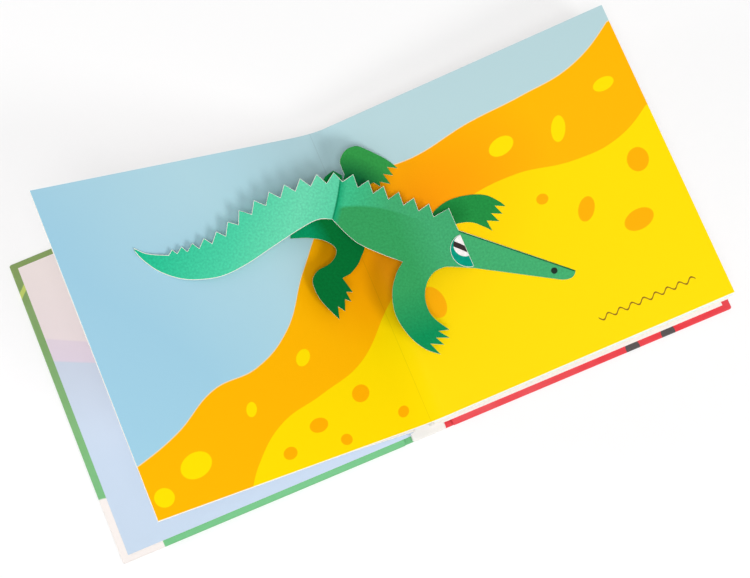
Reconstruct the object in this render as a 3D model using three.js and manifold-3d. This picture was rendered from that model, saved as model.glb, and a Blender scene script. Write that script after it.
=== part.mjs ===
// A small square pop-up picture book lying open on a table, with a folded paper crocodile.
// Millimetres, +Z up. X runs to the reader's right, Y to the head of the pages.
// The origin is under the middle of the spine, on the table.
import * as THREE from "three";
import { mergeVertices } from "three/addons/utils/BufferGeometryUtils.js";
import Module from "manifold-3d";

// Case: two boards and a spine board, covered with printed paper that is turned in at the edges
const boardWidth = 172.7;
const boardHeight = 184.6;
const boardThickness = 2.1;
const spineBoardWidth = 20.5;
const jointGap = 4; // bare paper between a board and the spine board, where the cover hinges
const wrapPaper = 0.3;
const turnIn = 12;
const hingeSlit = 0.3; // clear gap between the papers of two bodies at a hinge line
const glueLine = 0.05;

// Pages: card sheets folded at the gutter and glued back to back into leaves
const pageWidth = 179;
const pageHeight = 178;
const pageCard = 0.45;
const cardBite = 0.05; // how far two glued cards sink into each other
const blockShift = 0.95; // the leaves sit this much nearer the head than the boards
const endPageInset = 4.2; // bare board edge beyond the first and last page

// Open spread: where its gutter lies and how steeply its two leaves stand
const gutterX = 4;
const gutterHeight = 25.7;
const leftLeafTilt = 35.8;
const rightLeafTilt = 6.3;
const gutterBendLeft = 16;
const gutterBendRight = 8;

// Closed leaves under the right page, which fan out from the spine
const closedLeaves = 3;
const leafPitch = 4.8; // from fold to fold, up the spine
const leafFan = 1.1; // degrees between neighbours
const foldRadius = 1.6;

// First spread, whose right page is the back of the raised leaf
const leafPartsAt = 60; // the two cards of the raised leaf part this far from the gutter
const firstFoldX = -6.9;
const firstFoldHeight = 12.3;
const firstFoldRound = 0.06; // share of the raised card that its fold rounds off
const firstFlapInset = 1.4; // bare joint left between the flap and the hinge line
const flapReach = 7.6;

// Last sheet, which drops from the lowest leaf to the spine board
const lastLeafPartsAt = 26;
const lastFlapInset = 1;
const lastTurnIn = [9, 4.5]; // where its curve starts: across, and above its seat
const lastTurnOut = [5.6, 0];
const lastTurnSide = [[0, 2.6], [0.6, 0]]; // the curve's two handles

// Crocodile: printed paper, folded over the gutter
const popPaper = 0.3;
const glueGap = 0.3;
const slipGap = 0.2;
const headDistance = 54.8; // from the gutter to the crease behind the snout
const bodyRise = 17; // degrees above the table
const hipBack = [52, 52.3]; // ends of the hip crease on the body: from the head crease, and along Y
const hipBelly = [66.3, 34.1];
const tailTouch = 136.6; // along the left page to the tip of the tail
const tailTouchY = 47.15;
const tailTouchLift = 1.1;
const snoutDip = 0.48;
const snoutTop = 4.7; // ends of the crease behind the snout
const snoutBottom = -18.6;
const legSheetEnd = 3; // lower end of the crease of the rear legs' sheet
const legDrop = 0.75; // from the hip crease down to the crease of the rear legs' sheet
const nearLegSplay = 6;
const farLegSplay = 12.9;
const toothHeight = 8;
const bodyTeeth = 6;
const tailTeeth = 13;
const eyeRadius = 9.7;
const eyeCentreY = -7.7;

const wasm = await Module();
wasm.setup();

const radians = THREE.MathUtils.degToRad;
const vec = (x, y, z) => new THREE.Vector3(x, y, z);
const point = (x, y) => new THREE.Vector2(x, y);

// Solids
function solidOf(geometry) {
  const bare = geometry.clone();
  bare.deleteAttribute("normal");
  bare.deleteAttribute("uv");
  const merged = mergeVertices(bare, 1e-5);
  const vertProperties = merged.attributes.position.array;
  const triVerts = new Uint32Array(merged.index.array);
  return new wasm.Manifold(new wasm.Mesh({ numProp: 3, vertProperties, triVerts }));
}

function meshOf(solid, name, material) {
  const { numProp, numVert, vertProperties, triVerts } = solid.getMesh();
  const positions = new Float32Array(numVert * 3);
  for (let i = 0; i < numVert; i++) {
    positions.set(vertProperties.subarray(i * numProp, i * numProp + 3), i * 3);
  }
  const geometry = new THREE.BufferGeometry();
  geometry.setAttribute("position", new THREE.BufferAttribute(positions, 3));
  geometry.setIndex(new THREE.BufferAttribute(triVerts, 1));
  const mesh = new THREE.Mesh(geometry, material);
  mesh.name = name;
  return mesh;
}

function box([x0, x1], [y0, y1], [z0, z1]) {
  const geometry = new THREE.BoxGeometry(x1 - x0, y1 - y0, z1 - z0);
  geometry.translate((x0 + x1) / 2, (y0 + y1) / 2, (z0 + z1) / 2);
  return solidOf(geometry);
}

const join = (solids) => solids.reduce((all, next) => all.add(next));

const paint = (color, roughness) =>
  new THREE.MeshStandardMaterial({ color, roughness, metalness: 0 });

const greyBoard = paint(0xb9b3a8, 0.95);
const greenCover = paint(0x7daf6e, 0.55);
const whiteCover = paint(0xf0ece6, 0.55);
const redCover = paint(0xed3c4b, 0.5);
const blankCard = paint(0xdcd8e2, 0.8);
const pageCardStock = paint(0xffc400, 0.75);
const crocodileGreen = paint(0x40aa64, 0.8);
const legGreen = paint(0x007332, 0.8);
const farLegGreen = paint(0x238c41, 0.8);
const eyeTeal = paint(0x009b7d, 0.7);

// Case heights, from the table up
const boardBase = wrapPaper + glueLine;
const boardTop = boardBase + boardThickness;
const turnInTop = boardTop + glueLine + wrapPaper;
const endPageBase = turnInTop + glueLine;
const endPageTop = endPageBase + pageCard;
const hingeX = spineBoardWidth / 2 + jointGap / 2;
const boardStart = spineBoardWidth / 2 + jointGap;
const boardEnd = boardStart + boardWidth;
const paperEdge = glueLine + wrapPaper;

// A span in X on one side of the spine: -1 is the front cover's side, 1 the back cover's
const spanOn = (side, near, far) => (side > 0 ? [near, far] : [-far, -near]);

function coverBoard(side) {
  const half = boardHeight / 2;
  return box(spanOn(side, boardStart, boardEnd), [-half, half], [boardBase, boardTop]);
}

// Paper round one board: the sheet under it, its turned-in edges and the strip out to the hinge
function coverWrap(side) {
  const half = boardHeight / 2;
  const outer = half + paperEdge;
  const far = boardEnd + paperEdge;
  const shell = box(spanOn(side, boardStart, far), [-outer, outer], [0, turnInTop]);
  const room = [-half - glueLine, half + glueLine];
  const hollowStart = boardStart - turnIn;
  const hollow = box(
    spanOn(side, hollowStart, boardEnd + glueLine), room, [wrapPaper, boardTop + glueLine]);
  const inside = half - turnIn;
  const window = box(
    spanOn(side, hollowStart, boardEnd - turnIn), [-inside, inside], [boardTop - 1, turnInTop + 1]);
  const strip = box(
    spanOn(side, hingeX + hingeSlit / 2, boardStart + turnIn), [-outer, outer], [0, wrapPaper]);
  return shell.subtract(hollow).subtract(window).add(strip);
}

function spineWrap() {
  const half = boardHeight / 2;
  const outer = half + paperEdge;
  const halfBoard = spineBoardWidth / 2;
  const reach = hingeX - hingeSlit / 2;
  const room = halfBoard + glueLine;
  const shell = box([-halfBoard, halfBoard], [-outer, outer], [0, turnInTop]);
  const hollow = box(
    [-room, room], [-half - glueLine, half + glueLine], [wrapPaper, boardTop + glueLine]);
  const inside = half - turnIn;
  const window = box([-room, room], [-inside, inside], [boardTop - 1, turnInTop + 1]);
  const strip = box([-reach, reach], [-outer, outer], [0, wrapPaper]);
  return shell.subtract(hollow).subtract(window).add(strip);
}

// The first or last page, glued flat on a board
function endPage(side) {
  const half = pageHeight / 2;
  const far = boardEnd - endPageInset;
  return box(spanOn(side, boardStart, far), [-half, half], [endPageBase, endPageTop]);
}

// A card seen end on: a band of even thickness along a line of points in X and Z, carried along Y
function cardAlong(points, thickness) {
  const sides = points.map((here, i) => {
    const before = points[Math.max(i - 1, 0)];
    const after = points[Math.min(i + 1, points.length - 1)];
    const arriving = here.clone().sub(before);
    const leaving = after.clone().sub(here);
    if (i === 0) arriving.copy(leaving);
    if (i === points.length - 1) leaving.copy(arriving);
    arriving.normalize();
    leaving.normalize();
    const along = arriving.clone().add(leaving).normalize();
    const across = point(-along.y, along.x);
    return across.multiplyScalar(thickness / 2 / along.dot(arriving));
  });
  const left = points.map((here, i) => here.clone().add(sides[i]));
  const right = points.map((here, i) => here.clone().sub(sides[i])).reverse();
  const section = new THREE.Shape([...left, ...right]);
  const geometry = new THREE.ExtrudeGeometry(section, { depth: pageHeight, bevelEnabled: false });
  geometry.rotateX(Math.PI / 2);
  geometry.translate(0, pageHeight / 2 + blockShift, 0);
  return solidOf(geometry);
}

// Points in X and Z from the gutter out along a leaf, set down from its upper face
const gutter = point(gutterX, gutterHeight);
const leftTilt = radians(leftLeafTilt);
const rightTilt = radians(rightLeafTilt);

function onLeftLeaf(distance, depth) {
  const out = point(-Math.cos(leftTilt), Math.sin(leftTilt));
  const down = point(-Math.sin(leftTilt), -Math.cos(leftTilt));
  return gutter.clone().addScaledVector(out, distance).addScaledVector(down, depth);
}

// Leaf 0 is the right page of the open spread, and the closed leaves follow below it
function onRightLeaf(leaf, distance, depth) {
  const tilt = rightTilt - radians(leafFan * leaf);
  const out = point(Math.cos(tilt), Math.sin(tilt));
  const down = point(Math.sin(tilt), -Math.cos(tilt));
  const start = point(gutterX, gutterHeight - leafPitch * leaf);
  return start.addScaledVector(out, distance).addScaledVector(down, depth);
}

const upperCard = pageCard / 2;
const lowerCard = (3 * pageCard) / 2 - cardBite;

function openSpread() {
  const bend = new THREE.QuadraticBezierCurve(
    onLeftLeaf(gutterBendLeft, upperCard),
    point(gutterX, gutterHeight - upperCard / Math.cos((leftTilt + rightTilt) / 2)),
    onRightLeaf(0, gutterBendRight, upperCard));
  return cardAlong(
    [onLeftLeaf(pageWidth, upperCard), ...bend.getPoints(8), onRightLeaf(0, pageWidth, upperCard)],
    pageCard);
}

// Back of the raised leaf: it parts from the front card, folds at the spine and drops to the hinge
function firstSpread() {
  const fold = point(firstFoldX, firstFoldHeight);
  const parting = onLeftLeaf(leafPartsAt, lowerCard);
  const flapEnd = point(-hingeX + firstFlapInset, firstFoldHeight - flapReach);
  const turn = new THREE.QuadraticBezierCurve(
    fold.clone().lerp(parting, firstFoldRound), point(firstFoldX + 2, firstFoldHeight - 1.5),
    fold.clone().lerp(flapEnd, 0.4));
  return cardAlong(
    [onLeftLeaf(pageWidth, lowerCard), parting, ...turn.getPoints(5), flapEnd], pageCard);
}

// The sheet of a closed spread: the lower card of one leaf, a round fold, the upper card of the next
function closedSpread(leaf) {
  const above = onRightLeaf(leaf, foldRadius, lowerCard);
  const below = onRightLeaf(leaf + 1, foldRadius, upperCard);
  const middle = (above.y + below.y) / 2;
  const half = (above.y - below.y) / 2;
  const fold = [];
  for (let step = 1; step < 6; step++) {
    const angle = Math.PI / 2 + (step * Math.PI) / 6;
    const x = above.x + foldRadius * Math.cos(angle);
    fold.push(point(x, middle + half * Math.sin(angle)));
  }
  return cardAlong(
    [onRightLeaf(leaf, pageWidth, lowerCard), above, ...fold, below,
      onRightLeaf(leaf + 1, pageWidth, upperCard)],
    pageCard);
}

// The last sheet: the back of the lowest leaf, a fold on the spine board and a flap to the hinge
function lastSpread() {
  const lastSeat = turnInTop + glueGap + pageCard / 2;
  const parting = onRightLeaf(closedLeaves, lastLeafPartsAt, lowerCard);
  const aboveSeat = ([x, rise]) => point(x, lastSeat + rise);
  const turn = new THREE.CubicBezierCurve(
    aboveSeat(lastTurnIn), ...lastTurnSide.map(aboveSeat), aboveSeat(lastTurnOut));
  return cardAlong(
    [onRightLeaf(closedLeaves, pageWidth, lowerCard), parting, ...turn.getPoints(7),
      point(hingeX - lastFlapInset, lastSeat)],
    pageCard);
}

function pageBlock() {
  const sheets = [openSpread(), firstSpread(), lastSpread()];
  for (let leaf = 0; leaf < closedLeaves; leaf++) sheets.push(closedSpread(leaf));
  return join(sheets);
}

// A flat panel of the crocodile has its own frame: an origin and two directions, a and b, in its plane
function frameOf(origin, alongA, alongB) {
  const a = alongA.clone().normalize();
  const b = alongB.clone().normalize();
  return { origin, a, b, up: a.clone().cross(b) };
}

const placeIn = ({ origin, a, b }, [da, db]) =>
  origin.clone().addScaledVector(a, da).addScaledVector(b, db);

function panel(frame, outline) {
  const shape = new THREE.Shape(outline);
  const geometry = new THREE.ExtrudeGeometry(shape, { depth: popPaper, bevelEnabled: false });
  geometry.translate(0, 0, -popPaper / 2);
  const matrix = new THREE.Matrix4().makeBasis(frame.a, frame.b, frame.up);
  geometry.applyMatrix4(matrix.setPosition(frame.origin));
  return solidOf(geometry);
}

function crease(start, end) {
  const length = start.distanceTo(end);
  const geometry = new THREE.CylinderGeometry(popPaper / 2, popPaper / 2, length, 10);
  const turn = new THREE.Quaternion().setFromUnitVectors(
    vec(0, 1, 0), end.clone().sub(start).normalize());
  geometry.applyQuaternion(turn);
  const middle = start.clone().add(end).multiplyScalar(0.5);
  geometry.translate(middle.x, middle.y, middle.z);
  return solidOf(geometry);
}

// Outlines are drawn in millimetres for a page 179 mm wide, and grow or shrink with the page
const drawn = pageWidth / 179;
const toPoint = (place) => (place.isVector2 ? place : point(place[0] * drawn, place[1] * drawn));

// Outline helpers: a smooth stretch, and a zigzag whose teeth lean back towards the hip
const smooth = (points, count) => new THREE.SplineCurve(points.map(toPoint)).getPoints(count);
const corners = (points) => points.map(toPoint);

function zigzag(base, pitches, heights, lean) {
  const total = pitches.reduce((sum, pitch) => sum + pitch);
  const outline = [base.getPointAt(0)];
  let travelled = 0;
  pitches.forEach((pitch, i) => {
    travelled += pitch / total;
    const valley = base.getPointAt(Math.min(travelled, 1));
    const along = base.getTangentAt(Math.min(travelled, 1));
    const out = point(-along.y, along.x).rotateAround(point(0, 0), lean);
    outline.push(valley.clone().addScaledVector(out, heights[i]), valley);
  });
  return outline;
}

// Panel frames, worked out from the two pages
const rightOut = vec(Math.cos(rightTilt), 0, Math.sin(rightTilt));
const rightUp = vec(-Math.sin(rightTilt), 0, Math.cos(rightTilt));
const leftOut = vec(-Math.cos(leftTilt), 0, Math.sin(leftTilt));
const leftUp = vec(Math.sin(leftTilt), 0, Math.cos(leftTilt));
const gutterPoint = vec(gutterX, 0, gutterHeight);
const toHead = vec(0, 1, 0);

const farFrontLegLift = glueGap + popPaper / 2;
const headLift = farFrontLegLift + popPaper + slipGap + popPaper / 2;
const onRightPage = (lift) => gutterPoint.clone().addScaledVector(rightUp, lift);
const headOrigin = onRightPage(headLift).addScaledVector(rightOut, headDistance);

const rise = radians(bodyRise);
const bodyFrame = frameOf(headOrigin, vec(-Math.cos(rise), 0, Math.sin(rise)), toHead);
const snoutTilt = rightTilt - radians(snoutDip);
const snoutFrame = frameOf(headOrigin, vec(Math.cos(snoutTilt), 0, Math.sin(snoutTilt)), toHead);

const hipTop = placeIn(bodyFrame, hipBack);
const hipBottom = placeIn(bodyFrame, hipBelly);
const hipLine = hipTop.clone().sub(hipBottom).normalize();
const hipLength = hipTop.distanceTo(hipBottom);
const tailEnd = gutterPoint.clone()
  .addScaledVector(leftOut, tailTouch)
  .addScaledVector(leftUp, tailTouchLift);
tailEnd.y = tailTouchY;

// The direction in a plane through the hip crease, square to it, that leads to a given place
function squareToHip(target) {
  const reach = target.clone().sub(hipBottom);
  return reach.addScaledVector(hipLine, -reach.dot(hipLine)).normalize();
}

const tailOut = squareToHip(tailEnd);
const tailFrame = frameOf(hipBottom, tailOut, hipLine);
const bodyOut = squareToHip(headOrigin);
const legOrigin = hipBottom.clone().add(vec(0, 0, -legDrop));
const nearLegOut = tailOut.clone().applyAxisAngle(hipLine, radians(-nearLegSplay));
const farLegOut = bodyOut.clone().applyAxisAngle(hipLine, radians(farLegSplay));
const nearLegFrame = frameOf(legOrigin, nearLegOut, hipLine);
const farLegFrame = frameOf(legOrigin, farLegOut, hipLine);

// Body: toothed back, the edge at the head, chin, near front leg with four claws, belly
function bodyOutline() {
  const spineStart = point(...hipBack);
  const spineEnd = toPoint([10.5, 16.6]);
  const pitch = spineStart.distanceTo(spineEnd) / bodyTeeth;
  const back = zigzag(
    new THREE.LineCurve(spineStart, spineEnd),
    Array(bodyTeeth).fill(pitch), Array(bodyTeeth).fill(-toothHeight), radians(-37));
  return [
    ...back,
    ...corners([[0, 18.4]]),
    ...smooth([point(0, snoutBottom), [13.2, -13.2], [18, -12.2], [24, -13.2], [30, -17.5], [34, -24],
      [35.2, -31], [33.8, -37.5], [28.4, -45.9]], 22),
    ...corners([[34.7, -44.5], [30.2, -50.1], [37.5, -47.4], [34.7, -52.6], [41.9, -49.4]]),
    ...smooth([[38.9, -56.8], [45.9, -51], [51.5, -41], [53.8, -27.8], [50.5, -15.5], [44, -6.5],
      [37.9, -1.6]], 20),
    ...smooth([[38.4, -1.2], [48.3, 7.1], [59, 18.3], point(...hipBelly)], 8),
  ];
}

// Tail: teeth that shrink towards its tip, and a smooth lower edge
function tailOutline() {
  const base = new THREE.SplineCurve(corners([
    point(0, hipLength), [17.4, 12.7], [32.7, -1.4], [46.2, -18.1], [55.5, -34], [67.1, -45.5],
    [81.1, -54.9]]));
  const fullTeeth = 8;
  const shrink = (i, last) =>
    i < fullTeeth ? 1 : 1 - ((1 - last) * (i - fullTeeth + 1)) / (tailTeeth - fullTeeth);
  const order = [...Array(tailTeeth).keys()];
  const back = zigzag(
    base, order.map((i) => shrink(i, 0.48)), order.map((i) => toothHeight * shrink(i, 0.46)),
    radians(46));
  return [
    ...back,
    ...smooth([[88, -57.4], [93.6, -58.7], [99.8, -58.4]], 4),
    ...smooth([[98, -60.3], [93, -62.8], [83.1, -65.1], [71.4, -64.4], [60.8, -60.7], [49.4, -53.8],
      [38.7, -42.6], [26.7, -26.6], [14.9, -11.3], [7.4, -3.4], [0, 0]], 30),
  ];
}

// Snout: a long flap that narrows to a round nose, glued to the right page
function snoutOutline() {
  const nose = new THREE.QuadraticBezierCurve(...corners([[50.3, -42.1], [50.2, -48.4], [41, -43.7]]));
  return [point(0, snoutBottom), ...nose.getPoints(6).reverse(), point(0, snoutTop)];
}

function nearLegOutline() {
  return [
    ...corners([point(0, hipLength), [1.5, 26.6], [7.1, 27.3], [10.4, 22.2], [12, 14], [13, 4], [16.5, -6],
      [19.9, -17]]),
    ...smooth([[19.4, -19.2], [10, -15.2], [1.2, -13.2], [-6, -14.5], [-7.7, -19], [-5.4, -25],
      [-0.2, -31], [0.6, -38], [-6.4, -46], [-19.5, -52.7]], 26),
    ...corners([[-16.6, -45.9], [-21.3, -47.1], [-19.3, -40.7], [-23.1, -40.6], [-18.8, -36.5],
      [-22.4, -35.2], [-14.8, -29.8]]),
    ...smooth([[-18.4, -26], [-21, -19.9], [-21.9, -14], [-22, -8], [-17, -1]], 8),
    ...corners([[0, 4]]),
  ];
}

function farLegOutline() {
  return [
    ...corners([point(0, legSheetEnd), [9, 13], [13, 25], [17.8, 30.5], [22.6, 29.8], [21.2, 32.4],
      [27.8, 33.9], [21.8, 37.6], [27.9, 39.4], [23, 42.5]]),
    ...smooth([[29.4, 44.6], [21.5, 46.6], [8.7, 47.1], [1.7, 46.3], [-3.5, 41.4], [-5.1, 34.6],
      [-3, 30.9], [-0.2, 27.5]], 20),
    point(0, hipLength),
  ];
}

// Far front leg: glued flat on the right page, where a is measured from the gutter
function farFrontLegOutline() {
  return [
    ...smooth([[43, 16], [46.5, 20.2], [56, 22.6], [67, 21.1], [76.4, 16.9], [82.2, 10.3],
      [84.1, 6.6]], 18),
    ...corners([[78.7, 9.4], [81, 3.4], [75.2, 6.2], [77.6, 0.3], [71.4, 3.4]]),
    ...smooth([[72, -3.3], [69.2, 0.3], [63, 6.1], [55, 8.6], [47, 9], [43, 16]], 14).slice(0, -1),
  ];
}

function crocodileSheet() {
  const headTop = placeIn(bodyFrame, [0, snoutTop]);
  const headBottom = placeIn(bodyFrame, [0, snoutBottom]);
  return join([
    panel(bodyFrame, bodyOutline()),
    panel(tailFrame, tailOutline()),
    panel(snoutFrame, snoutOutline()),
    crease(hipTop, hipBottom),
    crease(headTop, headBottom),
  ]);
}

function rearLegs() {
  const top = placeIn(nearLegFrame, [0, hipLength]);
  const bottom = placeIn(nearLegFrame, [0, legSheetEnd]);
  return join([
    panel(nearLegFrame, nearLegOutline()),
    panel(farLegFrame, farLegOutline()),
    crease(top, bottom),
  ]);
}

function farFrontLeg() {
  const frame = frameOf(onRightPage(farFrontLegLift), rightOut, toHead);
  return panel(frame, farFrontLegOutline());
}

// Eye: half a disc on the body, its straight side along the head crease
function eyeDisc() {
  const lift = popPaper + slipGap;
  const { a, b, up } = bodyFrame;
  const outward = up.z > 0 ? up : up.clone().negate();
  const frame = frameOf(headOrigin.clone().addScaledVector(outward, lift), a, b);
  const arc = new THREE.EllipseCurve(
    popPaper, eyeCentreY, eyeRadius, eyeRadius, -Math.PI / 2, Math.PI / 2);
  return panel(frame, arc.getPoints(20));
}

const book = new THREE.Group();
book.add(meshOf(coverBoard(-1), "front_board", greyBoard));
book.add(meshOf(coverWrap(-1), "front_wrap", greenCover));
book.add(meshOf(endPage(-1), "first_page", blankCard));
book.add(meshOf(coverBoard(1), "back_board", greyBoard));
book.add(meshOf(coverWrap(1), "back_wrap", redCover));
book.add(meshOf(endPage(1), "last_page", blankCard));
const spineHalf = spineBoardWidth / 2;
const spineBoard = box(
  [-spineHalf, spineHalf], [-boardHeight / 2, boardHeight / 2], [boardBase, boardTop]);
book.add(meshOf(spineBoard, "spine_board", greyBoard));
book.add(meshOf(spineWrap(), "spine_wrap", whiteCover));
book.add(meshOf(pageBlock(), "page_block", pageCardStock));
book.add(meshOf(crocodileSheet(), "crocodile", crocodileGreen));
book.add(meshOf(rearLegs(), "rear_legs", legGreen));
book.add(meshOf(farFrontLeg(), "far_front_leg", farLegGreen));
book.add(meshOf(eyeDisc(), "eye", eyeTeal));

export default book;
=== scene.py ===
# A small square pop-up picture book lying open, with a paper crocodile standing over its gutter.
# Sizes are in millimetres until a mesh is made, and +X is the reader's right, +Y the head of the pages.
# The covers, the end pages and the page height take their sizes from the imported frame.
import math

import bpy
import numpy as np
from mathutils import Matrix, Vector
from mathutils.geometry import delaunay_2d_cdt


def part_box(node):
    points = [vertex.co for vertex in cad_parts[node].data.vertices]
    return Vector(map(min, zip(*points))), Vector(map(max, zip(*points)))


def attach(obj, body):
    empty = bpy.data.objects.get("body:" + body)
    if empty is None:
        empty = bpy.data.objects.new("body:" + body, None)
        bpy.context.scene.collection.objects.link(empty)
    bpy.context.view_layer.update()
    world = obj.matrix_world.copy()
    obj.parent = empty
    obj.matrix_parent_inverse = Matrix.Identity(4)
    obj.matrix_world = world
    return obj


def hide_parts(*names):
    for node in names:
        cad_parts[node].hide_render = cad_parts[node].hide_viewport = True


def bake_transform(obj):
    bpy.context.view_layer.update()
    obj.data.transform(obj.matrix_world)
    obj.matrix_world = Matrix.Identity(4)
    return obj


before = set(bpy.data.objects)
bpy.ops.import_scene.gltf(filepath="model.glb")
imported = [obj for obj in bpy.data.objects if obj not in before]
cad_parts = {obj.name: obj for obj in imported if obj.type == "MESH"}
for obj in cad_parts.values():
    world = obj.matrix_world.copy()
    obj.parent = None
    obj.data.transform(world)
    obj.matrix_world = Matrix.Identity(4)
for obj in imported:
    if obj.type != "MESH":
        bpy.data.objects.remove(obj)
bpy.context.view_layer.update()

# Covered boards.
# Each cover is a 2.1 mm grey board in printed paper that is film-laminated, glossy and smooth,
# pulled round the board's edges, which leaves them softly rounded. The spine has its own narrow board.
MM = 0.001


def box_of(node):
    """A CAD node's lowest and highest corners at rest, in millimetres."""
    return [[round(value / MM, 3) for value in corner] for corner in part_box(node)]


wrap_low, wrap_high = box_of("front_wrap")
COVER_TOP = wrap_high[2]
COVER_HALF = wrap_high[1]
BOARD_FAR = -wrap_low[0]
BOARD_NEAR = -box_of("front_board")[1][0]
SPINE_EDGE = box_of("spine_board")[1][0]
EDGE_ROUND = 0.9
CORNER_ROUND = 1.3
EDGE_STEPS = 7
CORNER_STEPS = 9
GRAIN_HEIGHT = 0.05


def linear(hex_colour):
    """The shader's linear colour for an sRGB hex colour."""
    levels = [int(hex_colour[i:i + 2], 16) / 255 for i in (1, 3, 5)]
    return [v / 12.92 if v <= 0.04045 else ((v + 0.055) / 1.055) ** 2.4 for v in levels] + [1.0]


def add_node(tree, kind, inputs=(), stops=None, curve=None, **settings):
    """One shader node. inputs gives each socket a value or the socket it is linked from."""
    node = tree.nodes.new("ShaderNode" + kind)
    for field, value in settings.items():
        setattr(node, field, value)
    for socket, value in dict(inputs).items():
        if isinstance(value, bpy.types.NodeSocket):
            tree.links.new(value, node.inputs[socket])
        else:
            node.inputs[socket].default_value = value
    for spot, colour in enumerate(stops or []):
        elements = node.color_ramp.elements
        element = elements[spot] if spot < 2 else elements.new(1.0)
        element.position, element.color = colour
    for spot, place in enumerate(curve or []):
        points = node.mapping.curves[0].points
        point = points[spot] if spot < 2 else points.new(*place)
        point.location = place
    if curve:
        node.mapping.update()
    return node


def calc(tree, operation, *values):
    """The result of a maths node. Each value is a number or the socket it is linked from."""
    return add_node(tree, "Math", dict(enumerate(values)), operation=operation).outputs[0]


def ramp(tree, value, low, high):
    """0 at low and beyond it, 1 at high and beyond it, straight between. low may be the larger."""
    return add_node(tree, "MapRange", {"Value": value, "From Min": low, "From Max": high}).outputs[0]


def noise(tree, place, scale, detail):
    """Soft noise from 0 to 1, with about scale lumps in a metre."""
    return add_node(tree, "TexNoise", {"Vector": place, "Scale": scale, "Detail": detail}).outputs["Fac"]


def start_material(name, roughness, grain, depth, sheen=0.05):
    """A paper or card: its tree, shader and object coordinates. Its surface has a fine tooth, with
    lumps about grain millimetres wide."""
    material = bpy.data.materials.new(name)
    material.use_nodes = True
    tree = material.node_tree
    shader = tree.nodes["Principled BSDF"]
    shader.inputs["Roughness"].default_value = roughness
    shader.inputs["Specular IOR Level"].default_value = sheen
    place = add_node(tree, "TexCoord").outputs["Object"]
    tooth = noise(tree, place, scale=1 / (grain * MM), detail=4.0)
    bump = add_node(tree, "Bump", {"Height": tooth, "Strength": depth, "Distance": GRAIN_HEIGHT * MM})
    tree.links.new(bump.outputs["Normal"], shader.inputs["Normal"])
    return material, tree, shader, place


def mix(tree, share, first, second):
    """The colour that goes from first to second as share goes from 0 to 1."""
    return add_node(tree, "Mix", {0: share, 6: first, 7: second}, data_type="RGBA").outputs[2]


def inside_ellipse(tree, place, centre, radii, turn, soft=0.03):
    """1 within a turned ellipse and 0 outside it. soft is the half width of its edge, as a share of
    its radius."""
    local = add_node(tree, "Mapping", {
        "Vector": place, "Location": (centre[0] * MM, centre[1] * MM, 0),
        "Rotation": (0, 0, math.radians(turn)), "Scale": (radii[0] * MM, radii[1] * MM, 1)},
        vector_type="TEXTURE")
    flat = add_node(tree, "VectorMath", {0: local.outputs[0], 1: (1, 1, 0)}, operation="MULTIPLY")
    reach = add_node(tree, "VectorMath", {0: flat.outputs[0]}, operation="LENGTH").outputs["Value"]
    return ramp(tree, reach, 1 + soft, 1 - soft)


def any_ellipse(tree, place, ellipses, soft=0.03):
    """The union of several ellipses, each (x, y, radius, radius, turn in degrees)."""
    union = None
    for x, y, rx, ry, turn in ellipses:
        share = inside_ellipse(tree, place, (x, y), (rx, ry), turn, soft)
        union = share if union is None else calc(tree, "MAXIMUM", union, share)
    return union


def piece(name, points, faces, materials, kinds=None, print_place=None, flat_angle=35):
    """A mesh object from points in millimetres, smooth except at edges sharper than flat_angle. kinds
    picks each face's material and print_place holds each point's place on the print."""
    mesh = bpy.data.meshes.new(name)
    mesh.from_pydata((np.asarray(points) * MM).tolist(), [], faces)
    for material in materials:
        mesh.materials.append(material)
    if kinds is not None:
        mesh.polygons.foreach_set("material_index", np.asarray(kinds, np.int32))
    if print_place is not None:
        corners = np.empty(len(mesh.loops), np.int32)
        mesh.loops.foreach_get("vertex_index", corners)
        uv = mesh.uv_layers.new(name="print")
        uv.data.foreach_set("uv", (print_place[corners] * MM).ravel())
    mesh.shade_smooth()
    mesh.set_sharp_from_angle(angle=math.radians(flat_angle))
    mesh.validate()
    made = bpy.data.objects.new(name, mesh)
    bpy.context.collection.objects.link(made)
    return made


def covered_board(name, x_near, x_far, material):
    """Rings of a rounded rectangle, inset as they climb round the edge: the inset is the edge's radius
    times one less the sine, and the height in from either face is that radius times one less the
    cosine. A flat face closes it above and below."""
    turn = np.linspace(0, math.pi / 2, EDGE_STEPS)
    drawn_in = EDGE_ROUND * (1 - np.sin(turn))
    climb = EDGE_ROUND * (1 - np.cos(turn))
    inset = np.concatenate([drawn_in, drawn_in[::-1]])
    height = np.concatenate([climb, COVER_TOP - climb[::-1]])
    middle = np.array([(x_near + x_far) / 2, 0.0])
    half = np.array([abs(x_far - x_near) / 2, COVER_HALF])
    angle = np.concatenate([np.linspace(q, q + 1, CORNER_STEPS) for q in range(4)]) * math.pi / 2
    quarter = np.repeat([[1, 1], [-1, 1], [-1, -1], [1, -1]], CORNER_STEPS, axis=0)
    centres = quarter * (half - CORNER_ROUND)
    round_part = np.column_stack([np.cos(angle), np.sin(angle)])
    radius = (CORNER_ROUND - inset)[:, None, None]
    plan = middle + centres[None] + radius * round_part[None]
    rings, around = plan.shape[:2]
    points = np.concatenate([plan, np.broadcast_to(height[:, None, None], (rings, around, 1))], axis=2)
    ring, spot = np.meshgrid(np.arange(rings - 1), np.arange(around), indexing="ij")
    ahead = (spot + 1) % around
    quads = np.stack([ring * around + spot, ring * around + ahead,
                      (ring + 1) * around + ahead, (ring + 1) * around + spot], -1).reshape(-1, 4)
    caps = [list(range(around))[::-1], list(range((rings - 1) * around, rings * around))]
    return piece(name, points.reshape(-1, 3), quads.tolist() + caps, [material])


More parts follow.
